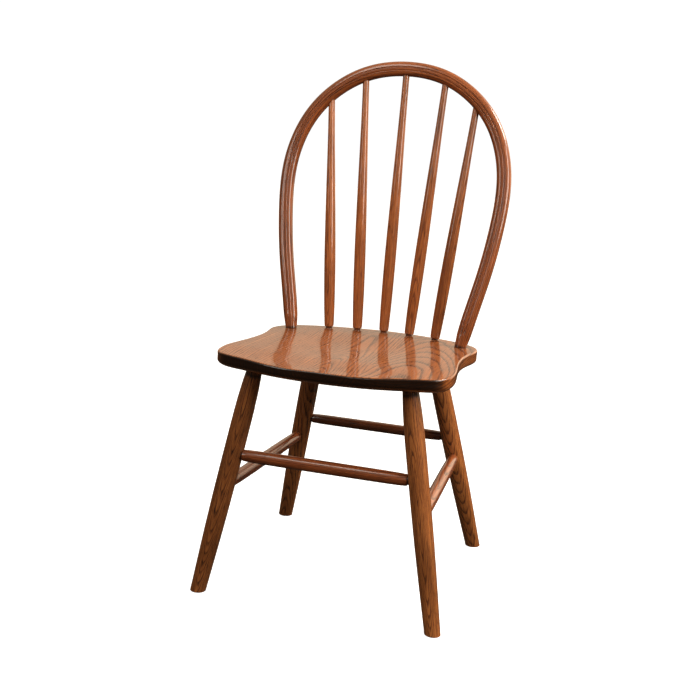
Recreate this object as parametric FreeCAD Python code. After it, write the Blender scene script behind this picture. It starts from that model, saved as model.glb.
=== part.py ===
import FreeCAD, Part
import math
import os

V = FreeCAD.Vector

# ---------------------------------------------------------------------------
# Bow-back side chair: a saddled plank seat on four raked and splayed turned
# legs tied by four stretchers, with a bent hoop and five tapered spindles
# socketed into the seat.  Millimetres.  +Z up, the front of the chair looks
# along -Y, X runs across the chair.  The origin is on the floor, at the
# middle of the bounding box.
# ---------------------------------------------------------------------------

# all stations below are measured from a line through the middle of the
# footprint; Y_SHIFT moves them so the bounding box is centred on Y = 0
Y_SHIFT = 21.37

FIT = 0.06              # radial glue line in every bored socket
BOTTOM_GAP = 0.8        # room left for glue under each tenon

# seat ----------------------------------------------------------------------
SEAT_RIM_Z = 447.0      # height of the flat border behind the spindles
SEAT_UNDER_Z = 416.8    # flat underside
SEAT_WALL_Z = 429.0     # the upright part of the edge ends here
SEAT_UNDER_ROUND = 25.0 # how far the underside round runs in from the edge
SEAT_RIM_ROUND = 3.2    # softened upper arris
FRONT_DROP = 4.5        # the front corners sit this much below the rim
POMMEL_RISE = 1.0       # soft ridge between the thighs
HOLLOW_HALF_WIDTH = 113.0
# depth of the sitting hollow along the middle of the seat (y, depth): it
# starts in front of the spindles and runs out over the front edge
HOLLOW_DEPTH = [
    (-310.0, 2.4), (-275.0, 3.0), (-240.0, 4.0), (-200.0, 4.7),
    (-150.0, 5.8), (-100.0, 7.1), (-50.0, 7.7), (0.0, 6.9), (45.0, 3.6),
    (85.0, 0.5), (115.0, 0.0), (160.0, 0.0),
]
# half outline of the plank, from the middle of the back to the middle of the
# front (x, y)
SEAT_HALF = [
    (0.0, 171.5), (40.0, 167.8), (76.0, 160.6), (112.0, 150.5), (143.0, 138.0),
    (170.0, 122.5), (192.0, 101.5), (203.5, 77.0), (206.3, 55.0), (203.4, 32.0),
    (198.9, 5.0), (196.0, -30.0), (196.4, -65.0), (199.3, -100.0),
    (204.4, -139.0), (208.4, -176.0), (208.0, -207.0), (201.3, -229.6),
    (182.8, -245.0), (151.0, -257.0), (120.5, -268.0), (92.0, -277.2),
    (60.0, -284.0), (30.0, -287.5), (0.0, -288.5),
]

# legs ----------------------------------------------------------------------
LEG_REF_Z = 410.0
FRONT_FOOT = (217.0, -230.4)    # axis on the floor (x, y)
FRONT_HEAD = (140.2, -209.1)    # axis at LEG_REF_Z
REAR_FOOT = (211.1, 230.4)
REAR_HEAD = (122.0, 91.7)
LEG_TENON_R = 13.2
LEG_TENON_TOP_Z = 433.5
FRONT_LEG_R = 17.7              # largest radius of the swell
REAR_LEG_R = 18.8
FOOT_CHAMFER = 0.8
# radius along the leg, as a share of the largest radius, against height
LEG_SHAPE = [
    (-25.0, 0.765), (0.0, 0.792), (30.0, 0.832), (60.0, 0.872), (90.0, 0.910),
    (120.0, 0.944), (150.0, 0.970), (180.0, 0.988), (215.0, 0.998),
    (255.0, 1.000), (300.0, 0.998), (335.0, 0.985), (360.0, 0.957),
    (380.0, 0.910), (395.0, 0.858), (407.0, 0.805), (415.0, 0.768),
]

# stretchers ----------------------------------------------------------------
FRONT_STRETCHER_Z = 260.1
REAR_STRETCHER_Z = 249.4
SIDE_STRETCHER_FRONT_Z = 201.1
SIDE_STRETCHER_REAR_Z = 207.5
STRETCHER_TENON_R = 7.9
STRETCHER_TENON_PAST_AXIS = 6.0
FRONT_STRETCHER_R = (11.2, 11.5)   # radius near the ends, radius at the middle
REAR_STRETCHER_R = (10.2, 10.3)
SIDE_STRETCHER_R = (11.0, 11.9)
STRETCHER_END_ROUND = 2.6

# hoop ----------------------------------------------------------------------
BOW_TILT = 11.17                # degrees back from upright
BOW_FOOT_Y = 72.3
BOW_TENON_R = 9.3
BOW_TENON_DEPTH = 24.0
# control points of the centre line in the plane of the hoop: half width, and
# distance up the plane from the seat
BOW_POLES = [
    (171.3, 0.0), (180.5, 54.8), (199.6, 131.7), (214.5, 232.5),
    (221.5, 335.7), (190.6, 432.8), (128.7, 497.5), (51.4, 533.2),
]
# section against length along the hoop from a foot: (length, width in the
# plane of the hoop, depth across it)
BOW_SECTION = [
    (0.0, 22.6, 20.6), (8.0, 23.7, 21.2), (14.0, 25.0, 21.7),
    (20.0, 26.3, 22.1), (28.0, 27.5, 22.6), (45.0, 28.1, 23.0),
    (90.0, 28.2, 23.2), (900.0, 28.2, 23.2),
]
BOW_POWER = 2.6                 # how square the section is (2 = oval)
BOW_FOOT_POWER = 2.15
BEAD_CENTRE = 2.2               # middle of the bead, towards the inside of the hoop
BEAD_OFFSET = 3.3               # each scribed groove from the middle of the bead
BEAD_GROOVE_R = 1.35
BEAD_GROOVE_DEPTH = 1.0
BEAD_STOP = 30.0                # the grooves stop this far above the seat

# spindles ------------------------------------------------------------------
SPINDLE_BOTTOM = [(-109.8, 130.1), (-54.0, 144.8), (0.0, 151.0),
                  (54.0, 144.8), (109.8, 130.1)]
SPINDLE_TOP_X = [-147.1, -80.8, 0.0, 80.8, 147.1]
SPINDLE_LEAN = [0.0, 0.0, -0.0, 0.0, 0.0]
SPINDLE_TENON_R = 6.6
SPINDLE_TENON_DEPTH = 18.0
SPINDLE_NECK = 2.4              # the neck shows between the seat and the shoulder
SPINDLE_TOP_R = 6.45
SPINDLE_PAST_CENTRE = 3.0       # how far it runs past the middle of the hoop
# radius against share of the exposed length
SPINDLE_SHAPE = [
    (0.040, 10.00), (0.080, 10.55), (0.125, 10.95), (0.180, 11.25),
    (0.240, 11.38), (0.310, 11.30), (0.370, 11.05), (0.430, 10.65),
    (0.490, 10.20), (0.550, 9.65), (0.610, 9.10), (0.670, 8.50),
    (0.730, 7.90), (0.790, 7.35), (0.850, 6.95), (0.910, 6.65),
    (0.960, 6.48), (1.000, 6.45),
]


def at(x, y, z):
    return V(x, y + Y_SHIFT, z)


def smooth(t):
    t = max(0.0, min(1.0, t))
    return t * t * (3.0 - 2.0 * t)


def lerp_table(table, t):
    """Cubic Hermite through (t, value...) rows."""
    n = len(table)
    if t <= table[0][0]:
        return table[0][1:]
    if t >= table[-1][0]:
        return table[-1][1:]
    i = 0
    while table[i + 1][0] < t:
        i += 1
    out = []
    for k in range(1, len(table[0])):
        def slope(j):
            if j <= 0 or j >= n - 1:
                a, b = (0, 1) if j <= 0 else (n - 2, n - 1)
                return (table[b][k] - table[a][k]) / (table[b][0] - table[a][0])
            return ((table[j + 1][k] - table[j - 1][k])
                    / (table[j + 1][0] - table[j - 1][0]))
        h = table[i + 1][0] - table[i][0]
        u = (t - table[i][0]) / h
        p0, p1 = table[i][k], table[i + 1][k]
        m0, m1 = slope(i) * h, slope(i + 1) * h
        out.append((2 * u ** 3 - 3 * u ** 2 + 1) * p0 + (u ** 3 - 2 * u ** 2 + u) * m0
                   + (-2 * u ** 3 + 3 * u ** 2) * p1 + (u ** 3 - u ** 2) * m1)
    return tuple(out)


def spline(points):
    c = Part.BSplineCurve()
    c.interpolate(Points=points)
    return c


def chord_parameters(points):
    """Chord-length parameters of a closed list of points, from 0 to 1."""
    out = [0.0]
    for a, b in zip(points, points[1:] + points[:1]):
        out.append(out[-1] + (b - a).Length)
    return [v / out[-1] for v in out]


def closed_wire(points, parameters):
    """Closed smooth wire; rings that share their parameters loft cleanly."""
    c = Part.BSplineCurve()
    c.interpolate(Points=points, PeriodicFlag=True, Parameters=parameters)
    return Part.Wire([c.toShape()])


def cylinder(base, axis, radius, length):
    return Part.makeCylinder(radius, length, base, axis)


def turned(base, axis, lower_end, rows, upper_end, start_t=None, end_t=None):
    """Solid of revolution.  rows is the smooth swell (t, r); lower_end and
    upper_end are lists of (t, r) corner points from the end face to the
    swell, joined by straight lines."""
    axis = V(axis)
    axis.normalize()
    side = axis.cross(V(0, 0, 1)) if abs(axis.z) < 0.9 else axis.cross(V(1, 0, 0))
    side.normalize()

    def p(t, r):
        return base + axis * t + side * r

    edges = []
    chain = [(lower_end[0][0], 0.0)] + list(lower_end) + [rows[0]]
    for a, b in zip(chain[:-1], chain[1:]):
        if abs(a[0] - b[0]) + abs(a[1] - b[1]) > 1e-6:
            edges.append(Part.makeLine(p(*a), p(*b)))
    edges.append(spline([p(*r) for r in rows]).toShape())
    chain = [rows[-1]] + list(upper_end) + [(upper_end[-1][0], 0.0)]
    for a, b in zip(chain[:-1], chain[1:]):
        if abs(a[0] - b[0]) + abs(a[1] - b[1]) > 1e-6:
            edges.append(Part.makeLine(p(*a), p(*b)))
    edges.append(Part.makeLine(p(chain[-1][0], 0.0), p(lower_end[0][0], 0.0)))
    face = Part.Face(Part.Wire(Part.__sortEdges__(edges)))
    return face.revolve(base, axis, 360)


# --- seat --------------------------------------------------------------------
def seat_outline():
    """Closed list of plan points (x, y) with their inward normals."""
    half = list(SEAT_HALF)
    full = half + [(-x, y) for x, y in half[-2:0:-1]]
    ring = Part.BSplineCurve()
    ring.interpolate(Points=[V(x, y, 0) for x, y in full], PeriodicFlag=True)
    a, b = ring.FirstParameter, ring.LastParameter
    # even spacing along the outline
    n = 96
    pts = ring.discretize(n + 1)[:-1]
    out = []
    for q in pts:
        t = ring.parameter(q)
        d = ring.tangent(t)[0]
        nrm = V(-d.y, d.x, 0)
        nrm.normalize()
        if (V(0, -60, 0) - q).dot(nrm) < 0:
            nrm = nrm * -1
        out.append((q, nrm))
    return out


def rim_z(x, y):
    return SEAT_RIM_Z - FRONT_DROP * smooth((-y - 165.0) / 110.0)


def seat_top_z(x, y):
    """Height of the sitting surface: a flat border behind the spindles and
    along the sides, a broad hollow that is deepest behind the middle and runs
    out over the front edge, and a soft ridge between the thighs."""
    across = math.exp(-(abs(x) / HOLLOW_HALF_WIDTH) ** 4)
    z = rim_z(x, y) - lerp_table(HOLLOW_DEPTH, y)[0] * across
    return z + (POMMEL_RISE * smooth((-y - 70.0) / 120.0)
                * math.exp(-(x / 38.0) ** 2))


def make_seat():
    ring = seat_outline()
    under = []
    for i in range(9):
        a = math.pi / 2 * i / 8
        under.append((SEAT_UNDER_ROUND * (1 - math.cos(a)),
                      SEAT_WALL_Z - (SEAT_WALL_Z - SEAT_UNDER_Z) * math.sin(a)))
    levels = under[::-1] + [(0.0, 438.0), (0.0, 447.0), (0.0, 456.0)]
    along = chord_parameters([q for q, m in ring])
    wires = []
    for inset, z in levels:
        wires.append(closed_wire([at(q.x + m.x * inset, q.y + m.y * inset, z)
                                  for q, m in ring], along))
    blank = Part.makeLoft(wires, True, False)

    xs = [-232 + 464 * i / 40.0 for i in range(41)]
    ys = [-312 + 508 * j / 44.0 for j in range(45)]
    grid = [[at(x, y, seat_top_z(x, y)) for y in ys] for x in xs]
    surf = Part.BSplineSurface()
    surf.interpolate(grid)
    waste = surf.toShape().extrude(V(0, 0, 60))
    body = blank.cut(waste)
    rim = [e for e in body.Edges
           if e.BoundBox.ZMin > 436.0 and e.Length > 200.0]
    body = body.makeFillet(SEAT_RIM_ROUND, rim)
    return body


# --- hoop --------------------------------------------------------------------
TILT = math.radians(BOW_TILT)
UP = V(0, math.sin(TILT), math.cos(TILT))
FACE = V(0, -math.cos(TILT), math.sin(TILT))    # out of the front of the hoop
BOW_ORIGIN = at(0, BOW_FOOT_Y, SEAT_RIM_Z)


def bow_point(x, s):
    return BOW_ORIGIN + V(1, 0, 0) * x + UP * s


def bow_curve():
    poles = [bow_point(-x, s) for x, s in BOW_POLES]
    poles += [bow_point(x, s) for x, s in BOW_POLES[::-1]]
    n = len(poles)
    c = Part.BSplineCurve()
    knots = [float(i) for i in range(n - 2)]
    mults = [4] + [1] * (n - 4) + [4]
    c.buildFromPolesMultsKnots(poles, mults, knots, False, 3)
    return c


def bow_lengths():
    """The hoop's centre line as a fine table of (length, parameter)."""
    c = bow_curve()
    lo, hi = c.FirstParameter, c.LastParameter
    n = 6000
    rows = [(0.0, lo)]
    last = c.value(lo)
    for i in range(1, n + 1):
        u = lo + (hi - lo) * i / n
        p = c.value(u)
        rows.append((rows[-1][0] + (p - last).Length, u))
        last = p
    return rows


BOW_TABLE = bow_lengths()


def bow_frames(count):
    """Evenly spaced stations: point, tangent, in-plane normal pointing to the
    inside of the hoop, length from the nearer foot."""
    c = bow_curve()
    total = BOW_TABLE[-1][0]
    out = []
    k = 0
    for i in range(count):
        length = total * i / (count - 1.0)
        while k < len(BOW_TABLE) - 2 and BOW_TABLE[k + 1][0] < length:
            k += 1
        (l0, u0), (l1, u1) = BOW_TABLE[k], BOW_TABLE[k + 1]
        u = u0 + (u1 - u0) * max(0.0, min(1.0, (length - l0) / (l1 - l0)))
        p = c.value(u)
        t = c.tangent(u)[0]
        t.normalize()
        side = t.cross(FACE)
        side.normalize()
        out.append((p, t, side, min(length, total - length)))
    return out, total


def bow_size(length):
    return lerp_table(BOW_SECTION, length)


def section_wire(p, side, width, depth, power=BOW_POWER, count=40):
    pts = []
    for k in range(count):
        a = 2 * math.pi * (k + 0.5) / count
        ca, sa = math.cos(a), math.sin(a)
        x = math.copysign(abs(ca) ** (2.0 / power), ca) * width / 2
        y = math.copysign(abs(sa) ** (2.0 / power), sa) * depth / 2
        pts.append(p + side * x + FACE * y)
    c = Part.BSplineCurve()
    c.interpolate(Points=pts, PeriodicFlag=True)
    return Part.Wire([c.toShape()])


def bow_power(length):
    """Rounder towards the feet."""
    return BOW_FOOT_POWER + (BOW_POWER - BOW_FOOT_POWER) * smooth(length / 70.0)


def make_bow():
    frames, total = bow_frames(57)
    wires = []
    for p, t, side, length in frames:
        w, d = bow_size(length)
        wires.append(section_wire(p, side, w, d, bow_power(length)))
    body = Part.makeLoft(wires, True, False)

    # two scribed grooves leave a bead along the face, nearer its inner edge
    fine, _ = bow_frames(121)
    for sgn in (-1, 1):
        off = BEAD_CENTRE + sgn * BEAD_OFFSET
        line = []
        for p, t, side, length in fine:
            if length < BEAD_STOP:
                continue
            w, d = bow_size(length)
            lift = BEAD_GROOVE_R - BEAD_GROOVE_DEPTH
            u = abs(2 * off / w)
            k = bow_power(length)
            face_y = (1 - u ** k) ** (1 / k) * d / 2
            line.append(p + side * off + FACE * (face_y + lift))
        path = spline(line)
        tan = path.tangent(path.FirstParameter)[0]
        ring = Part.Wire([Part.Circle(line[0], tan, BEAD_GROOVE_R).toShape()])
        tube = Part.Wire([path.toShape()]).makePipeShell([ring], True, False)
        body = body.cut(tube)

    # round tenons at the feet
    for idx in (0, -1):
        p, t, side, length = frames[idx]
        down = t * (-1 if idx == 0 else 1)
        start = p - down * 3.0
        body = body.fuse(cylinder(start, down, BOW_TENON_R,
                                  3.0 + BOW_TENON_DEPTH))
    return body


def bow_tenon_axes():
    frames, total = bow_frames(57)
    out = []
    for idx in (0, -1):
        p, t, side, length = frames[idx]
        out.append((p, t * (-1 if idx == 0 else 1)))
    return out


def bow_s_at(x):
    """Distance up the plane of the hoop where the upper arch is x wide."""
    c = bow_curve()
    best = None
    for length, u in BOW_TABLE[::2]:
        q = c.value(u) - BOW_ORIGIN
        s = q.dot(UP)
        if s > 300.0 and (best is None or abs(q.x - x) < best[0]):
            best = (abs(q.x - x), s)
    return best[1]


ARCH_S = [bow_s_at(x) for x in SPINDLE_TOP_X]


# --- legs --------------------------------------------------------------------
def leg_axis(name):
    foot, head = (FRONT_FOOT, FRONT_HEAD) if "front" in name else (REAR_FOOT, REAR_HEAD)
    sx = -1.0 if "left" in name else 1.0
    a = at(sx * foot[0], foot[1], 0.0)
    b = at(sx * head[0], head[1], LEG_REF_Z)
    d = b - a
    d.normalize()
    return a, d


def on_leg(name, z):
    a, d = leg_axis(name)
    return a + d * (z / d.z)


def leg_radius(name, z):
    big = FRONT_LEG_R if "front" in name else REAR_LEG_R
    return big * lerp_table(LEG_SHAPE, z)[0]


def make_leg(name):
    a, d = leg_axis(name)
    k = 1.0 / d.z
    big = FRONT_LEG_R if "front" in name else REAR_LEG_R
    # the head of the leg stops at the flat underside; the tenon goes on
    head_z = SEAT_UNDER_Z - 1.2 - math.tan(math.acos(d.z)) * LEG_TENON_R
    rows = []
    for z, r in LEG_SHAPE:
        if z < head_z - 6.0:
            rows.append((z * k, r * big))
    r_head = max(LEG_TENON_R + 0.35, lerp_table(LEG_SHAPE, head_z)[0] * big)
    rows.append((head_z * k, r_head))
    body = turned(a, d, [(rows[0][0], rows[0][1])], rows,
                  [(head_z * k + 0.6, LEG_TENON_R),
                   (LEG_TENON_TOP_Z * k - 1.0, LEG_TENON_R),
                   (LEG_TENON_TOP_Z * k, LEG_TENON_R - 1.0)])
    floor = Part.makeBox(300, 300, 120, V(a.x - 150, a.y - 150, -120))
    body = body.cut(floor)
    sole = [e for e in body.Edges if abs(e.BoundBox.ZMax) < 0.01]
    body = body.makeChamfer(FOOT_CHAMFER, sole)
    for p, q, r in stretcher_sockets(name):
        body = body.cut(cylinder(p, q, r, 60.0))
    return body


# --- stretchers ----------------------------------------------------------------
STRETCHERS = {
    "stretcher_front": ("leg_front_left", "leg_front_right",
                        FRONT_STRETCHER_Z, FRONT_STRETCHER_Z, FRONT_STRETCHER_R),
    "stretcher_rear": ("leg_rear_left", "leg_rear_right",
                       REAR_STRETCHER_Z, REAR_STRETCHER_Z, REAR_STRETCHER_R),
    "stretcher_left": ("leg_front_left", "leg_rear_left",
                       SIDE_STRETCHER_FRONT_Z, SIDE_STRETCHER_REAR_Z,
                       SIDE_STRETCHER_R),
    "stretcher_right": ("leg_front_right", "leg_rear_right",
                        SIDE_STRETCHER_FRONT_Z, SIDE_STRETCHER_REAR_Z,
                        SIDE_STRETCHER_R),
}


def stretcher_line(name):
    la, lb, za, zb, r = STRETCHERS[name]
    a, b = on_leg(la, za), on_leg(lb, zb)
    d = b - a
    length = d.Length
    d.normalize()
    return a, b, d, length


def stretcher_sockets(leg):
    """(start, direction, radius) of each bore in a leg; the bore starts at its
    blind end and runs out of the leg towards the stretcher."""
    out = []
    for name, (la, lb, za, zb, r) in STRETCHERS.items():
        a, b, d, length = stretcher_line(name)
        past = STRETCHER_TENON_PAST_AXIS + BOTTOM_GAP
        if la == leg:
            out.append((a - d * past, d, STRETCHER_TENON_R + FIT))
        if lb == leg:
            out.append((b + d * past, d * -1, STRETCHER_TENON_R + FIT))
    return out


def make_stretcher(name):
    la, lb, za, zb, (r_end, r_mid) = STRETCHERS[name]
    a, b, d, length = stretcher_line(name)
    ta = leg_radius(la, za) + 0.9
    tb = length - leg_radius(lb, zb) - 0.9
    past = STRETCHER_TENON_PAST_AXIS
    rows = []
    n = 14
    e = STRETCHER_END_ROUND
    # rounded shoulder, long swell, rounded shoulder
    for i in range(6):
        g = math.pi / 2 * i / 5
        rows.append((ta + e * (1 - math.cos(g)), r_end - 1.0 - e + e * math.sin(g)))
    for i in range(1, n):
        u = i / float(n)
        t = ta + e + (tb - ta - 2 * e) * u
        r = r_end - 1.0 + 1.0 * smooth(min(u, 1 - u) / 0.10) \
            + (r_mid - r_end) * math.sin(math.pi * u) ** 0.8
        rows.append((t, r))
    for i in range(6):
        g = math.pi / 2 * (5 - i) / 5
        rows.append((tb - e * (1 - math.cos(g)), r_end - 1.0 - e + e * math.sin(g)))
    tr = STRETCHER_TENON_R
    return turned(a, d, [(-past, tr - 0.8), (-past + 0.8, tr), (ta, tr)], rows,
                  [(tb, tr), (length + past - 0.8, tr), (length + past, tr - 0.8)])


# --- spindles --------------------------------------------------------------------
def spindle_axis(i):
    x, y = SPINDLE_BOTTOM[i]
    a = at(x, y, SEAT_RIM_Z)
    b = bow_point(SPINDLE_TOP_X[i], ARCH_S[i])
    d = b - a
    length = d.Length
    d.normalize()
    return a, b, d, length


def make_spindle(i):
    a, b, d, length = spindle_axis(i)
    shoulder = SPINDLE_NECK
    rows = []
    r0 = 9.35
    e = 3.0
    for k in range(6):
        g = math.pi / 2 * k / 5
        rows.append((shoulder + e * (1 - math.cos(g)), r0 - e + e * math.sin(g)))
    for u, r in SPINDLE_SHAPE:
        t = u * length
        if t > shoulder + e + 6:
            rows.append((t, r))
    end = length + SPINDLE_PAST_CENTRE
    return turned(a, d,
                  [(-SPINDLE_TENON_DEPTH, SPINDLE_TENON_R - 0.8),
                   (-SPINDLE_TENON_DEPTH + 0.8, SPINDLE_TENON_R),
                   (shoulder, SPINDLE_TENON_R)],
                  rows,
                  [(end - 0.8, SPINDLE_TOP_R), (end, SPINDLE_TOP_R - 0.8)])


# --- bore the sockets --------------------------------------------------------------
def bore_seat(seat):
    for leg in ("leg_front_left", "leg_front_right", "leg_rear_left",
                "leg_rear_right"):
        a, d = leg_axis(leg)
        start = a + d * (380.0 / d.z)
        length = (LEG_TENON_TOP_Z + BOTTOM_GAP - 380.0) / d.z
        seat = seat.cut(cylinder(start, d, LEG_TENON_R + FIT, length))
    for i in range(5):
        a, b, d, length = spindle_axis(i)
        depth = SPINDLE_TENON_DEPTH + BOTTOM_GAP
        seat = seat.cut(cylinder(a - d * depth, d, SPINDLE_TENON_R + FIT,
                                 depth + 30.0))
    for p, down in bow_tenon_axes():
        depth = BOW_TENON_DEPTH + BOTTOM_GAP
        seat = seat.cut(cylinder(p + down * depth, down * -1,
                                 BOW_TENON_R + FIT, depth + 30.0))
    # the foot of the hoop stands on the seat: a shallow flat clears it
    return seat


def bore_bow(bow):
    for i in range(5):
        a, b, d, length = spindle_axis(i)
        start = b + d * (SPINDLE_PAST_CENTRE + BOTTOM_GAP)
        bow = bow.cut(cylinder(start, d * -1, SPINDLE_TOP_R + FIT, 60.0))
    return bow


def trim_bow_feet(bow):
    """The body of the hoop is cut square to the seat's surface; only the
    tenons go on below it."""
    keep = bow
    for p, down in bow_tenon_axes():
        slab = Part.makeBox(60, 60, 40, V(p.x - 30, p.y - 30,
                                          SEAT_RIM_Z + 0.15 - 40))
        core = cylinder(p - down * 10.0, down, BOW_TENON_R,
                        10.0 + BOW_TENON_DEPTH)
        keep = keep.cut(slab.cut(core))
    return keep


def largest(shape):
    solids = sorted(shape.Solids, key=lambda s: s.Volume)
    return solids[-1]


def main():
    os.makedirs("parts", exist_ok=True)
    nodes = {}
    nodes["seat"] = bore_seat(make_seat())
    nodes["bow"] = trim_bow_feet(bore_bow(make_bow()))
    for i in range(5):
        nodes["spindle_%d" % (i + 1)] = make_spindle(i)
    for leg in ("leg_front_left", "leg_front_right", "leg_rear_left",
                "leg_rear_right"):
        nodes[leg] = make_leg(leg)
    for name in STRETCHERS:
        nodes[name] = make_stretcher(name)
    lo = V(1e9, 1e9, 1e9)
    hi = V(-1e9, -1e9, -1e9)
    for name, shape in nodes.items():
        solid = largest(shape)
        if not solid.isValid():
            print("INVALID", name)
        if len(shape.Solids) != 1:
            print("note: %s had %d solids" % (name, len(shape.Solids)))
        bb = solid.BoundBox
        lo = V(min(lo.x, bb.XMin), min(lo.y, bb.YMin), min(lo.z, bb.ZMin))
        hi = V(max(hi.x, bb.XMax), max(hi.y, bb.YMax), max(hi.z, bb.ZMax))
        solid.exportStep("parts/%s.step" % name)
        print("%-18s volume %9.1f cm3/1000  box %6.1f %6.1f %6.1f" % (
            name, solid.Volume / 1000.0, bb.XLength, bb.YLength, bb.ZLength))
    print("box", lo, hi)


main()
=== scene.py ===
import bpy
import bmesh
import math
import numpy as np
from mathutils import Matrix, Vector


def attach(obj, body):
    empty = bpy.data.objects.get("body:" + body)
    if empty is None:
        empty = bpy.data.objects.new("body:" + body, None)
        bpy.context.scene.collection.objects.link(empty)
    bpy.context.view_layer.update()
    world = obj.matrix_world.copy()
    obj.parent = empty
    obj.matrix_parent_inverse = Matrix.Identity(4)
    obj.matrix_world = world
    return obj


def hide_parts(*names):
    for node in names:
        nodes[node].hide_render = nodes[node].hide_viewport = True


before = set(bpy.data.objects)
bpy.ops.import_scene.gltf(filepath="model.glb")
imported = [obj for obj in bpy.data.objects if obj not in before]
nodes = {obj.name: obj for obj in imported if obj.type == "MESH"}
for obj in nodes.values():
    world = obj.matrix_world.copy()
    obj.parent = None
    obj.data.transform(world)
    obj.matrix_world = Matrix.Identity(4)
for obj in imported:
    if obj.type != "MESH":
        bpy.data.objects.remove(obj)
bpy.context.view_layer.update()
scene = bpy.context.scene

Y_SHIFT = 0.02137          # the frame's origin is the middle of the footprint


def V(*a):
    return Vector(a)


def at(x, y, z):
    """A drawing point in millimetres, as a point of the frame in metres."""
    return V(x / 1000.0, y / 1000.0 + Y_SHIFT, z / 1000.0)


def c4(c):
    return (c[0], c[1], c[2], 1.0)


# ---------------------------------------------------------------------------
# node helpers
# ---------------------------------------------------------------------------
class Tree:
    def __init__(self, tree):
        self.t = tree

    def add(self, kind, **props):
        n = self.t.nodes.new(kind)
        for k, v in props.items():
            setattr(n, k, v)
        return n

    def link(self, a, b):
        self.t.links.new(a, b)

    def put(self, socket, value):
        if hasattr(value, "is_output"):
            self.link(value, socket)
        else:
            socket.default_value = value

    def math(self, op, a, b=None, c=None, clamp=False):
        n = self.add("ShaderNodeMath", operation=op, use_clamp=clamp)
        self.put(n.inputs[0], a)
        if b is not None:
            self.put(n.inputs[1], b)
        if c is not None:
            self.put(n.inputs[2], c)
        return n.outputs[0]

    def sum(self, *terms):
        out = terms[0]
        for t in terms[1:]:
            out = self.math("ADD", out, t)
        return out

    def mul(self, *terms):
        out = terms[0]
        for t in terms[1:]:
            out = self.math("MULTIPLY", out, t)
        return out

    def vmath(self, op, a, b=None):
        n = self.add("ShaderNodeVectorMath", operation=op)
        self.put(n.inputs[0], a)
        if b is not None:
            self.put(n.inputs[1], b)
        return n.outputs["Value"] if op in ("DOT_PRODUCT", "LENGTH") else n.outputs[0]

    def noise(self, vec, scale=1.0, detail=2.0, rough=0.5, colour=False):
        n = self.add("ShaderNodeTexNoise")
        self.put(n.inputs["Vector"], vec)
        n.inputs["Scale"].default_value = scale
        n.inputs["Detail"].default_value = detail
        n.inputs["Roughness"].default_value = rough
        return n.outputs["Color"] if colour else n.outputs[0]

    def ramp(self, fac, stops, interp="LINEAR"):
        n = self.add("ShaderNodeValToRGB")
        n.color_ramp.interpolation = interp
        e = n.color_ramp.elements
        while len(e) > 1:
            e.remove(e[-1])
        e[0].position = stops[0][0]
        e[0].color = (*stops[0][1], 1.0)
        for p, c in stops[1:]:
            x = e.new(p)
            x.color = (*c, 1.0)
        self.put(n.inputs[0], fac)
        return n.outputs[0]

    def mapr(self, v, a, b, c=0.0, d=1.0, kind="LINEAR"):
        n = self.add("ShaderNodeMapRange", interpolation_type=kind, clamp=True)
        for i, x in enumerate((v, a, b, c, d)):
            self.put(n.inputs[i], x)
        return n.outputs[0]

    def step(self, v, a, b, c=0.0, d=1.0):
        return self.mapr(v, a, b, c, d, "SMOOTHSTEP")

    def mix(self, fac, a, b, blend="MIX"):
        n = self.add("ShaderNodeMix", data_type="RGBA", blend_type=blend)
        self.put(n.inputs[0], fac)
        self.put(n.inputs[6], a)
        self.put(n.inputs[7], b)
        return n.outputs[2]

    def combine(self, x, y, z):
        n = self.add("ShaderNodeCombineXYZ")
        for i, v in enumerate((x, y, z)):
            self.put(n.inputs[i], v)
        return n.outputs[0]

    def separate(self, v):
        n = self.add("ShaderNodeSeparateXYZ")
        self.put(n.inputs[0], v)
        return n.outputs


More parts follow.
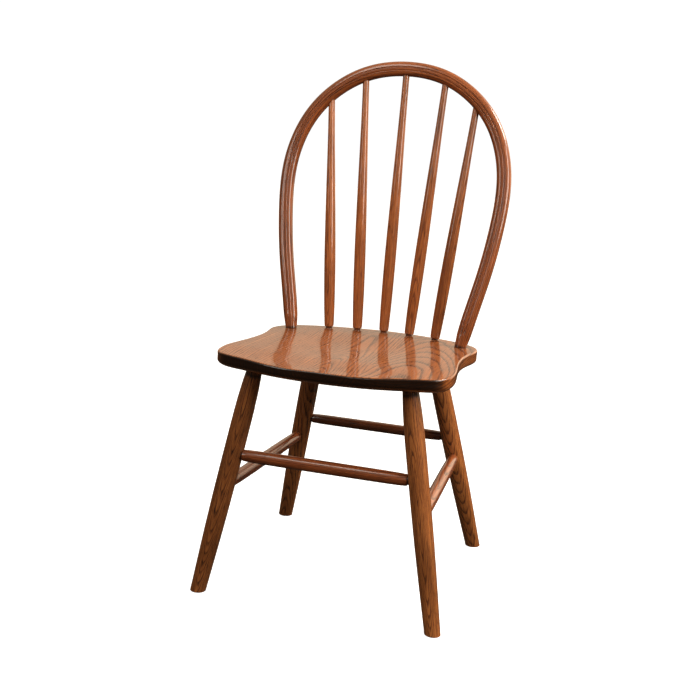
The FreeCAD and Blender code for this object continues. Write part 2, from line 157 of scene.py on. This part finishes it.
# ---------------------------------------------------------------------------
# oak: ring-porous timber, stained and lacquered.  U runs along the grain,
# v and w across it, all in metres from the piece's own starting point
# ---------------------------------------------------------------------------
def oak(name, basis=None, attr=None, logs=((None, 0.05, 0.03, 0.03, 0.0),), ring=0.0032,
        seed=0.0, colours=None, rough=0.32, coat=1.0, coat_rough=0.05, end_dark=0.4,
        pores=1.0, rings=0.8, wander=1.0, bump=0.3, cloud=0.2, painted_joint_shade=(), spec=0.25,
        fine=1.0, peel=0.1):
    """basis: origin and three unit vectors.  logs: one entry for each board,
    (upper limit of v, pith v, pith w, run-out, shift along the log).  painted_joint_shade:
    (place along U, softness, depth) where the wood is darkened at a joint as painted shade,
    standing in for the contact shadow where the piece meets another."""
    light, mid, dark, pore = colours
    mat = bpy.data.materials.new(name)
    mat.use_nodes = True
    T = Tree(mat.node_tree)
    T.t.nodes.clear()
    out = T.add("ShaderNodeOutputMaterial")
    bsdf = T.add("ShaderNodeBsdfPrincipled")
    T.link(bsdf.outputs[0], out.inputs[0])

    if attr:
        a = T.add("ShaderNodeAttribute", attribute_name=attr)
        P = a.outputs["Vector"]
    else:
        tc = T.add("ShaderNodeTexCoord")
        origin, u, v, w = basis
        m = Matrix((u, v, w))
        mp = T.add("ShaderNodeMapping", vector_type="POINT")
        mp.inputs["Rotation"].default_value = m.to_euler("XYZ")
        mp.inputs["Location"].default_value = -(m @ origin)
        T.link(tc.outputs["Object"], mp.inputs[0])
        P = mp.outputs[0]
    s = T.separate(P)
    U, Vc, W = s[0], s[1], s[2]
    off = seed * 3.17

    # which board, and so where in the log
    pv, pw, run, sh = logs[0][1], logs[0][2], logs[0][3], logs[0][4]
    if len(logs) > 1:
        for i in range(1, len(logs)):
            g = T.math("GREATER_THAN", Vc, logs[i - 1][0])
            pv = T.math("ADD", pv, T.math("MULTIPLY", g, logs[i][1] - logs[i - 1][1]))
            pw = T.math("ADD", pw, T.math("MULTIPLY", g, logs[i][2] - logs[i - 1][2]))
            run = T.math("ADD", run, T.math("MULTIPLY", g, logs[i][3] - logs[i - 1][3]))
            sh = T.math("ADD", sh, T.math("MULTIPLY", g, logs[i][4] - logs[i - 1][4]))
    Ub = T.math("ADD", U, sh)

    # slow wander of the grain, then the rings round the pith
    wv = T.combine(T.mul(Ub, 3.0), T.mul(Vc, 9.0), T.mul(W, 9.0))
    sw = T.separate(T.noise(T.vmath("ADD", wv, (off, off * 1.7, off * 0.6)), 1.0, 1.0, 0.5, True))
    amp = 0.020 * wander
    vv = T.sum(T.math("SUBTRACT", Vc, pv), T.mul(T.math("SUBTRACT", sw[0], 0.5), amp))
    ww = T.sum(T.math("SUBTRACT", W, pw), T.mul(T.math("SUBTRACT", sw[1], 0.5), amp), T.mul(Ub, run))
    rad = T.math("SQRT", T.sum(T.mul(vv, vv), T.mul(ww, ww)))
    jit = T.noise(T.combine(T.mul(Ub, 9.0), T.mul(Vc, 55.0), T.mul(W, 55.0)), 1.0, 2.0, 0.55)
    rad = T.sum(rad, T.mul(T.math("SUBTRACT", jit, 0.5), 0.0022 * wander))
    uneven = T.noise(T.combine(T.mul(rad, 55.0), off, 1.0), 1.0, 1.0)
    f = T.math("FRACT", T.sum(T.math("DIVIDE", rad, ring), T.mul(uneven, 2.6)))
    early = T.ramp(f, [(0.0, (0.35,) * 3), (0.06, (1.0,) * 3), (0.20, (0.85,) * 3),
                       (0.38, (0.25,) * 3), (0.62, (0.04,) * 3), (0.94, (0.0,) * 3),
                       (1.0, (0.35,) * 3)], "EASE")

    # open pores: thin dashes along the grain, thick in the early wood
    k = 1.0 / fine
    p1 = T.noise(T.vmath("ADD", T.combine(T.mul(Ub, 60.0 * k), T.mul(Vc, 1500.0 * k),
                                          T.mul(W, 1500.0 * k)), (off, off, -off)), 1.0, 1.0, 0.5)
    p2 = T.noise(T.vmath("ADD", T.combine(T.mul(Ub, 28.0 * k), T.mul(Vc, 620.0 * k),
                                          T.mul(W, 620.0 * k)), (off * 2.0, 3.0, off)), 1.0, 2.0, 0.6)
    q1 = T.step(T.math("SUBTRACT", p1, T.mapr(early, 0.0, 1.0, 0.64, 0.47)), 0.0, 0.10)
    q2 = T.step(T.math("SUBTRACT", p2, T.mapr(early, 0.0, 1.0, 0.60, 0.47)), 0.0, 0.13)
    po = T.math("MULTIPLY", T.math("MAXIMUM", T.mul(q1, 0.8), q2), pores, clamp=True)

    # fibre streaks and broad clouds of stain
    fib = T.noise(T.vmath("ADD", T.combine(T.mul(Ub, 7.0), T.mul(Vc, 300.0), T.mul(W, 300.0)),
                          (off, 1.0, off)), 1.0, 3.0, 0.65)
    cl = T.noise(T.vmath("ADD", T.combine(T.mul(Ub, 9.0), T.mul(Vc, 28.0), T.mul(W, 28.0)),
                         (off, -off, 2.0)), 1.0, 3.0, 0.6)
    base = T.mix(T.mapr(fib, 0.34, 0.66), c4(light), c4(mid))
    base = T.mix(T.math("MULTIPLY", early, rings, clamp=True), base, c4(dark))
    base = T.mix(T.mul(po, 0.88), base, c4(pore))
    stain_and_painted_shade = T.mapr(cl, 0.25, 0.75, 1.0 - cloud, 1.0 + cloud)
    # end grain drinks the stain
    geo = T.add("ShaderNodeNewGeometry")
    if not attr:
        dn = T.vmath("DOT_PRODUCT", geo.outputs["Normal"], tuple(basis[1]))
        stain_and_painted_shade = T.mul(stain_and_painted_shade, T.step(T.math("ABSOLUTE", dn), 0.35, 0.92, 1.0, end_dark))
    # painted shade: the wood is darkened where the piece meets another at a joint, standing in for the contact
    # shadow there
    for place, soft, depth in painted_joint_shade:
        d = T.math("ABSOLUTE", T.math("SUBTRACT", U, place))
        stain_and_painted_shade = T.mul(stain_and_painted_shade, T.step(d, 0.0, soft, depth, 1.0))
    base = T.mix(1.0, base, T.combine(stain_and_painted_shade, stain_and_painted_shade, stain_and_painted_shade), "MULTIPLY")
    T.link(base, bsdf.inputs["Base Color"])

    # pores stay a little open under the lacquer
    hgt = T.sum(T.mul(po, -1.0), T.mul(early, -0.4))
    bp = T.add("ShaderNodeBump")
    bp.inputs["Strength"].default_value = bump
    bp.inputs["Distance"].default_value = 0.00025
    T.link(hgt, bp.inputs["Height"])
    T.link(bp.outputs[0], bsdf.inputs["Normal"])
    pl = T.noise(T.combine(T.mul(U, 90.0), T.mul(Vc, 150.0), T.mul(W, 150.0)), 1.0, 2.0, 0.5)
    hl = T.sum(T.mul(po, -0.35), T.mul(early, -0.12), T.mul(pl, peel))
    bc = T.add("ShaderNodeBump")
    bc.inputs["Strength"].default_value = bump
    bc.inputs["Distance"].default_value = 0.00022
    T.link(hl, bc.inputs["Height"])
    T.link(bc.outputs[0], bsdf.inputs["Coat Normal"])
    T.link(T.mapr(po, 0.0, 1.0, rough, min(1.0, rough + 0.25)), bsdf.inputs["Roughness"])
    bsdf.inputs["Specular IOR Level"].default_value = spec
    bsdf.inputs["Coat Weight"].default_value = coat
    bsdf.inputs["Coat Roughness"].default_value = coat_rough
    bsdf.inputs["Coat IOR"].default_value = 1.5
    return mat


def basis_along(a, b, roll=0.0):
    """Origin at a, u from a to b, v and w square to it, turned by roll."""
    u = (b - a).normalized()
    v = u.cross(V(0, 0, 1)) if abs(u.z) < 0.9 else u.cross(V(0, 1, 0))
    v.normalize()
    w = u.cross(v)
    c, s = math.cos(roll), math.sin(roll)
    return (a, u, v * c + w * s, w * c - v * s)


def assign(obj, mat):
    obj.data.materials.clear()
    obj.data.materials.append(mat)


# stains: the open wood, its darker fibres, the early wood, the pores
LEG = ((0.450, 0.158, 0.046), (0.250, 0.080, 0.022), (0.110, 0.033, 0.010), (0.020, 0.006, 0.003))
STR = ((0.360, 0.098, 0.030), (0.200, 0.050, 0.015), (0.090, 0.022, 0.007), (0.020, 0.006, 0.003))
SEAT = ((0.480, 0.145, 0.034), (0.310, 0.086, 0.019), (0.120, 0.030, 0.008), (0.030, 0.008, 0.003))
BOW = ((0.440, 0.125, 0.036), (0.260, 0.068, 0.018), (0.110, 0.027, 0.008), (0.024, 0.007, 0.003))
SPN = ((0.450, 0.145, 0.042), (0.280, 0.082, 0.023), (0.130, 0.036, 0.010), (0.030, 0.009, 0.004))


def tone(palette, k):
    return tuple(tuple(v * k for v in c) for c in palette)


# --- seat: boards side by side, grain front to back -------------------------
# the seat's end grain at its front and back edges is made near black: partly the end grain's own darker stain,
# partly painted shade on the front edge
seat_mat = oak("oak_seat", (at(0, 0, 447), V(0, 1, 0), V(1, 0, 0), V(0, 0, -1)),
               logs=((-0.070, -0.215, 0.020, 0.02, 0.0), (0.062, 0.000, 0.055, 0.10, 0.9),
                     (0.5, 0.130, 0.050, 0.10, 2.3)),
               ring=0.0046, seed=2.0, colours=SEAT, coat_rough=0.03, end_dark=0.05,
               rough=0.35, wander=1.0, bump=0.22, pores=0.7, rings=0.75, fine=1.25)
assign(nodes["seat"], seat_mat)

# --- legs -------------------------------------------------------------------
LEGS = {
    "leg_front_left": (at(-217, -230.4, 0), at(-140.2, -209.1, 410)),
    "leg_front_right": (at(217, -230.4, 0), at(140.2, -209.1, 410)),
    "leg_rear_left": (at(-211.1, 230.4, 0), at(-122.0, 91.7, 410)),
    "leg_rear_right": (at(211.1, 230.4, 0), at(122.0, 91.7, 410)),
}
# painted light and shade: the right-hand legs are made lighter and the left-hand legs darker, as the key light
# from the right and the seat's shadow fall on them
LEG_PAINTED_LIGHT_AND_SHADE = {"leg_front_left": 0.97, "leg_front_right": 1.38, "leg_rear_left": 0.90, "leg_rear_right": 1.50}
LEG_ROLL = {"leg_front_left": 0.2, "leg_front_right": 0.1, "leg_rear_left": 0.6, "leg_rear_right": -0.1}
# painted shade: each leg is darkened at its top, where it goes into the seat
for i, (n, (a, b)) in enumerate(LEGS.items()):
    m = oak("oak_" + n, basis_along(a, b, LEG_ROLL[n]), logs=((None, 0.004, 0.050, 0.055, i * 0.37),),
            seed=5.0 + i, ring=0.0019, colours=tone(LEG, LEG_PAINTED_LIGHT_AND_SHADE[n]), coat_rough=0.10,
            end_dark=0.30, rings=0.55, pores=1.0, fine=0.8, wander=0.8, cloud=0.3, painted_joint_shade=((0.4135, 0.006, 0.3),))
    assign(nodes[n], m)


def on_leg(n, z):
    a, b = LEGS[n]
    return a + (b - a) * (z / 410.0)


# --- stretchers -------------------------------------------------------------
BARS = {
    "stretcher_front": (on_leg("leg_front_left", 260.1), on_leg("leg_front_right", 260.1), 0.0180, 0.0180),
    "stretcher_rear": (on_leg("leg_rear_left", 249.4), on_leg("leg_rear_right", 249.4), 0.0185, 0.0185),
    "stretcher_left": (on_leg("leg_front_left", 201.1), on_leg("leg_rear_left", 207.5), 0.0175, 0.0185),
    "stretcher_right": (on_leg("leg_front_right", 201.1), on_leg("leg_rear_right", 207.5), 0.0175, 0.0185),
}
# painted light and shade: the rear stretcher is made dark for the shade under the seat, and the right stretcher
# lighter where the light from the right falls on it
BAR_PAINTED_LIGHT_AND_SHADE = (1.15, 0.42, 1.15, 1.3)
# painted shade: each stretcher is darkened at both ends, where it goes into the legs
for i, (n, (a, b, e0, e1)) in enumerate(BARS.items()):
    L = (b - a).length
    m = oak("oak_" + n, basis_along(a, b, 0.4 + i), logs=((None, 0.012, 0.025, 0.05, i * 0.51),),
            seed=11.0 + i, ring=0.0024, colours=tone(STR, BAR_PAINTED_LIGHT_AND_SHADE[i]), coat_rough=0.09, rings=0.5, pores=0.8,
            painted_joint_shade=((e0, 0.0035, 0.25), (L - e1, 0.0035, 0.25)))
    assign(nodes[n], m)

# --- spindles ---------------------------------------------------------------
SB = [(-109.8, 130.1), (-54.0, 144.8), (0.0, 151.0), (54.0, 144.8), (109.8, 130.1)]
ST = [(-147.1, 164.3, 913.2), (-80.8, 172.5, 954.4), (0.0, 175.2, 968.3),
      (80.8, 172.5, 954.4), (147.1, 164.3, 913.2)]
SPN_TONE = (1.50, 1.42, 1.38, 1.20, 1.08)
# painted shade: each spindle is darkened at its foot, where it meets the seat
for i in range(5):
    a = at(SB[i][0], SB[i][1], 447)
    b = at(*ST[i])
    m = oak("oak_spindle_%d" % (i + 1), basis_along(a, b, 0.9 * i + 0.3),
            logs=((None, 0.010, 0.022, 0.03, i * 0.61),), seed=21.0 + i, ring=0.0023,
            colours=tone(SPN, SPN_TONE[i]), coat_rough=0.08, rings=0.45, pores=0.7, painted_joint_shade=((0.0, 0.0042, 0.12),))
    assign(nodes["spindle_%d" % (i + 1)], m)

# --- bow: the grain follows the bend ---------------------------------------
BOW_POLES = [(171.3, 0.0), (180.5, 54.8), (199.6, 131.7), (214.5, 232.5),
             (221.5, 335.7), (190.6, 432.8), (128.7, 497.5), (51.4, 533.2)]
TILT = math.radians(11.17)


def bow_line(count=1800):
    """The hoop's centre line in its own plane, in metres, with its length."""
    pts = np.array([(-x, s) for x, s in BOW_POLES] + [(x, s) for x, s in BOW_POLES[::-1]]) / 1000.0
    n, k = len(pts), 3
    knots = np.concatenate([np.zeros(k), np.arange(n - k + 1, dtype=float), np.full(k, float(n - k))])
    out = []
    for t in np.linspace(0.0, n - k - 1e-9, count):
        i = min(int(t), n - k - 1) + k
        d = [pts[j].copy() for j in range(i - k, i + 1)]
        for r in range(1, k + 1):
            for j in range(k, r - 1, -1):
                lo, hi = knots[j + i - k], knots[j + 1 + i - r]
                a = (t - lo) / (hi - lo)
                d[j] = (1 - a) * d[j - 1] + a * d[j]
        out.append(d[k])
    out = np.array(out)
    length = np.concatenate([[0.0], np.cumsum(np.linalg.norm(np.diff(out, axis=0), axis=1))])
    return out, length


SEC_L = [-20.0, 0.0, 8.0, 14.0, 20.0, 28.0, 45.0, 90.0, 2000.0]
SEC_W = [22.2, 22.6, 23.7, 25.0, 26.3, 27.4, 28.0, 28.0, 28.0]
SEC_D = [20.2, 20.6, 21.2, 21.7, 22.1, 22.6, 23.0, 23.0, 23.0]
BEAD_CENTRE, BEAD_OFFSET, GROOVE_HALF, GROOVE_DEPTH = 2.0, 3.2, 1.45, 1.25


def ease(t):
    t = np.clip(t, 0.0, 1.0)
    return t * t * (3.0 - 2.0 * t)


def make_hoop():
    """The hoop swept along its own centre line, with the two scribed grooves
    in its face, and the place along the grain kept on every point."""
    line, length = bow_line(2400)
    total = length[-1]
    st = np.concatenate([[-7.0], np.arange(0.0, 60.0, 1.5), np.linspace(60.0, total * 1000 - 60.0, 380),
                         np.arange(total * 1000 - 58.5, total * 1000 + 0.1, 1.5), [total * 1000 + 7.0]]) / 1000.0
    t = np.gradient(line, axis=0)
    t /= np.linalg.norm(t, axis=1)[:, None]
    inside = np.clip(st, 0.0, total)
    px = np.interp(inside, length, line[:, 0])
    ps = np.interp(inside, length, line[:, 1])
    tx = np.interp(inside, length, t[:, 0])
    ts = np.interp(inside, length, t[:, 1])
    px += (st - inside) * tx
    ps += (st - inside) * ts
    near = np.minimum(st, total - st) * 1000.0
    w = np.interp(near, SEC_L, SEC_W)
    d = np.interp(near, SEC_L, SEC_D)
    for _ in range(6):
        w[1:-1] = (w[:-2] + 2 * w[1:-1] + w[2:]) / 4
        d[1:-1] = (d[:-2] + 2 * d[1:-1] + d[2:]) / 4
    k = 2.15 + 0.45 * ease(near / 70.0)
    # places round the section
    rows = []
    for i in range(76):
        a = 2 * math.pi * (i + 0.5) / 76
        ca, sa = math.cos(a), math.sin(a)
        x = math.copysign(abs(ca) ** (2 / 2.6), ca)
        g = x * 14.0 - BEAD_CENTRE
        if sa > 0 and abs(abs(g) - BEAD_OFFSET) < GROOVE_HALF + 0.4:
            continue
        rows.append((x, 1 if sa > 0 else -1))
    for sgn in (-1, 1):
        for q in np.linspace(-1.2, 1.2, 15):
            rows.append(((BEAD_CENTRE + sgn * BEAD_OFFSET + q * GROOVE_HALF) / 14.0, 1))
    rows.sort(key=lambda r: math.atan2(r[1] * (1 - abs(r[0]) ** 2.6) ** (1 / 2.6), r[0]) % (2 * math.pi))
    m = len(rows)
    verts = np.empty((len(st), m, 3))
    grain = np.empty((len(st), m, 3))
    fade = ease((near - 22.0) / 10.0)
    for j, (x, sg) in enumerate(rows):
        f = sg * np.maximum(0.0, 1 - abs(x) ** k) ** (1 / k) * d / 2
        if sg > 0:
            for q in (-1, 1):
                g = (x * 14.0 - BEAD_CENTRE - q * BEAD_OFFSET) / GROOVE_HALF
                if abs(g) < 1:
                    f = f - fade * GROOVE_DEPTH * math.cos(g * math.pi / 2)
        a = x * w / 2
        cx = px + a / 1000.0 * ts
        cs = ps - a / 1000.0 * tx
        f = f / 1000.0
        verts[:, j, 0] = cx
        verts[:, j, 1] = 0.0723 + Y_SHIFT + cs * math.sin(TILT) - f * math.cos(TILT)
        verts[:, j, 2] = 0.447 + cs * math.cos(TILT) + f * math.sin(TILT)
        grain[:, j, 0] = st
        grain[:, j, 1] = a / 1000.0
        grain[:, j, 2] = f
    faces = []
    for i in range(len(st) - 1):
        for j in range(m):
            n = (j + 1) % m
            faces.append((i * m + j, i * m + n, (i + 1) * m + n, (i + 1) * m + j))
    faces.append(tuple(range(m))[::-1])
    faces.append(tuple((len(st) - 1) * m + j for j in range(m)))
    me = bpy.data.meshes.new("hoop_bent")
    me.from_pydata(verts.reshape(-1, 3).tolist(), [], faces)
    me.polygons.foreach_set("use_smooth", [True] * (len(faces) - 2) + [False] * 2)
    at_ = me.attributes.new("grain", "FLOAT_VECTOR", "POINT")
    at_.data.foreach_set("vector", grain.astype(np.float32).ravel())
    bm = bmesh.new()
    bm.from_mesh(me)
    bmesh.ops.recalc_face_normals(bm, faces=bm.faces)
    bm.to_mesh(me)
    bm.free()
    me.update()
    o = bpy.data.objects.new("hoop_bent", me)
    scene.collection.objects.link(o)
    return o, float(total)


bow, BOW_LENGTH = make_hoop()
# painted shade: the bow is darkened at both feet, where it goes into the seat
bow_mat = oak("oak_bow", attr="grain", logs=((None, 0.050, 0.030, 0.012, 0.0),), seed=31.0,
              ring=0.0030, colours=BOW, coat_rough=0.06, rings=0.55, pores=0.8,
              painted_joint_shade=((0.0, 0.006, 0.25), (BOW_LENGTH, 0.006, 0.25)))
assign(bow, bow_mat)
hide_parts("bow")
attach(bow, "root")

# ---------------------------------------------------------------------------
# floor
# ---------------------------------------------------------------------------
bpy.ops.mesh.primitive_plane_add(size=60.0, location=(0, 0, 0))
floor = bpy.context.object
floor.name = "floor"
fm = bpy.data.materials.new("floor_white")
fm.use_nodes = True
fb = fm.node_tree.nodes["Principled BSDF"]
fb.inputs["Base Color"].default_value = (0.70, 0.72, 0.75, 1)
fb.inputs["Roughness"].default_value = 0.9
fb.inputs["Specular IOR Level"].default_value = 0.1
fb.inputs["Emission Color"].default_value = (1, 1, 1, 1)
fb.inputs["Emission Strength"].default_value = 0.92
floor.data.materials.append(fm)
floor.visible_diffuse = False      # the studio's dark ground is what the chair sees
floor.visible_glossy = False

# ---------------------------------------------------------------------------
# studio
# ---------------------------------------------------------------------------
world = bpy.data.worlds.new("studio")
scene.world = world
world.use_nodes = True
WT = Tree(world.node_tree)
WT.t.nodes.clear()
wo = WT.add("ShaderNodeOutputWorld")
tc = WT.add("ShaderNodeTexCoord")
sx, sy, sz = WT.separate(tc.outputs["Generated"])
over = WT.step(sz, -0.06, 0.10)
backdrop = WT.mul(WT.step(sy, -0.10, 0.5), over, 0.56)
right_back = WT.mul(WT.step(WT.vmath("DOT_PRODUCT", tc.outputs["Generated"], (0.42, 0.90, 0.10)), 0.84, 0.97), over, 0.9)
sky = WT.mul(WT.step(sz, 0.15, 0.7), 0.30)
lum = WT.sum(backdrop, right_back, sky, 0.035)
bg1 = WT.add("ShaderNodeBackground")
WT.link(WT.combine(lum, WT.mul(lum, 0.78), WT.mul(lum, 0.56)), bg1.inputs["Color"])
bg1.inputs["Strength"].default_value = 1.0
bg2 = WT.add("ShaderNodeBackground")
bg2.inputs["Color"].default_value = (1, 1, 1, 1)
bg2.inputs["Strength"].default_value = 1.05
lp = WT.add("ShaderNodeLightPath")
mx = WT.add("ShaderNodeMixShader")
WT.link(lp.outputs["Is Camera Ray"], mx.inputs[0])
WT.link(bg1.outputs[0], mx.inputs[1])
WT.link(bg2.outputs[0], mx.inputs[2])
WT.link(mx.outputs[0], wo.inputs[0])


def softbox(name, azimuth, distance, low, high, width, radiance, target_z=0.7, colour=(1, 1, 1)):
    """A panel standing at an azimuth from the front (positive to the chair's
    +X side), between two heights; radiance in the scene's white."""
    a = math.radians(azimuth)
    loc = V(distance * math.sin(a), -distance * math.cos(a), (low + high) / 2)
    l = bpy.data.lights.new(name, "AREA")
    l.shape = "RECTANGLE"
    l.size, l.size_y = width, high - low
    l.energy = radiance * math.pi * width * (high - low)
    l.color = colour
    o = bpy.data.objects.new(name, l)
    scene.collection.objects.link(o)
    o.location = loc
    back = V(math.sin(a), -math.cos(a), 0.0)
    right = V(0, 0, 1).cross(back)
    o.matrix_world = Matrix((
        (right.x, 0, back.x, loc.x), (right.y, 0, back.y, loc.y),
        (right.z, 1, back.z, loc.z), (0, 0, 0, 1)))
    return o


def panel(name, azimuth, elevation, distance, width, height, radiance, target=(0, 0, 0.55),
          colour=(1, 1, 1)):
    """A panel that looks at a point of the chair."""
    a, e = math.radians(azimuth), math.radians(elevation)
    t = V(*target)
    back = V(math.sin(a) * math.cos(e), -math.cos(a) * math.cos(e), math.sin(e))
    loc = t + back * distance
    right = V(0, 0, 1).cross(back).normalized()
    up = back.cross(right)
    l = bpy.data.lights.new(name, "AREA")
    l.shape = "RECTANGLE"
    l.size, l.size_y = width, height
    l.energy = radiance * math.pi * width * height
    l.color = colour
    o = bpy.data.objects.new(name, l)
    scene.collection.objects.link(o)
    o.matrix_world = Matrix((
        (right.x, up.x, back.x, loc.x), (right.y, up.y, back.y, loc.y),
        (right.z, up.z, back.z, loc.z), (0, 0, 0, 1)))
    return o


WARM = (1.0, 0.93, 0.84)
softbox("softbox_right", 62, 2.2, 0.94, 2.3, 0.9, 9.0, colour=WARM)
softbox("softbox_left", -42, 2.6, 0.98, 2.1, 0.8, 4.0, colour=WARM)
softbox("softbox_front", 8, 3.2, 1.15, 2.4, 1.0, 1.3, colour=WARM)
panel("key_right", 104, 46, 2.4, 0.8, 0.8, 27.0, colour=WARM)
panel("key_left", -26, 50, 2.6, 0.8, 0.8, 5.0, colour=WARM)

# ---------------------------------------------------------------------------
# camera, at the photograph's viewpoint
# ---------------------------------------------------------------------------
R_ = V(0.95894924, 0.2746202, 0.07071144)
U_ = V(-0.11583855, 0.15174539, 0.98160826)
B_ = V(0.25883932, -0.9495036, 0.17732773)
cam = bpy.data.cameras.new("camera")
co = bpy.data.objects.new("camera", cam)
scene.collection.objects.link(co)
co.matrix_world = Matrix((
    (R_.x, U_.x, B_.x, 0.482216),
    (R_.y, U_.y, B_.y, -1.876034 + Y_SHIFT),
    (R_.z, U_.z, B_.z, 0.780253),
    (0, 0, 0, 1)))
cam.sensor_width = 36.0
cam.lens = 1037.54 / 700.0 * 36.0
cam.shift_x = (350.0 - 348.84) / 700.0
cam.shift_y = (349.93 - 350.0) / 700.0
cam.clip_end = 100.0
scene.camera = co

scene.view_settings.view_transform = "Standard"
scene.view_settings.look = "None"
scene.view_settings.exposure = 0.0
scene.view_settings.gamma = 1.0
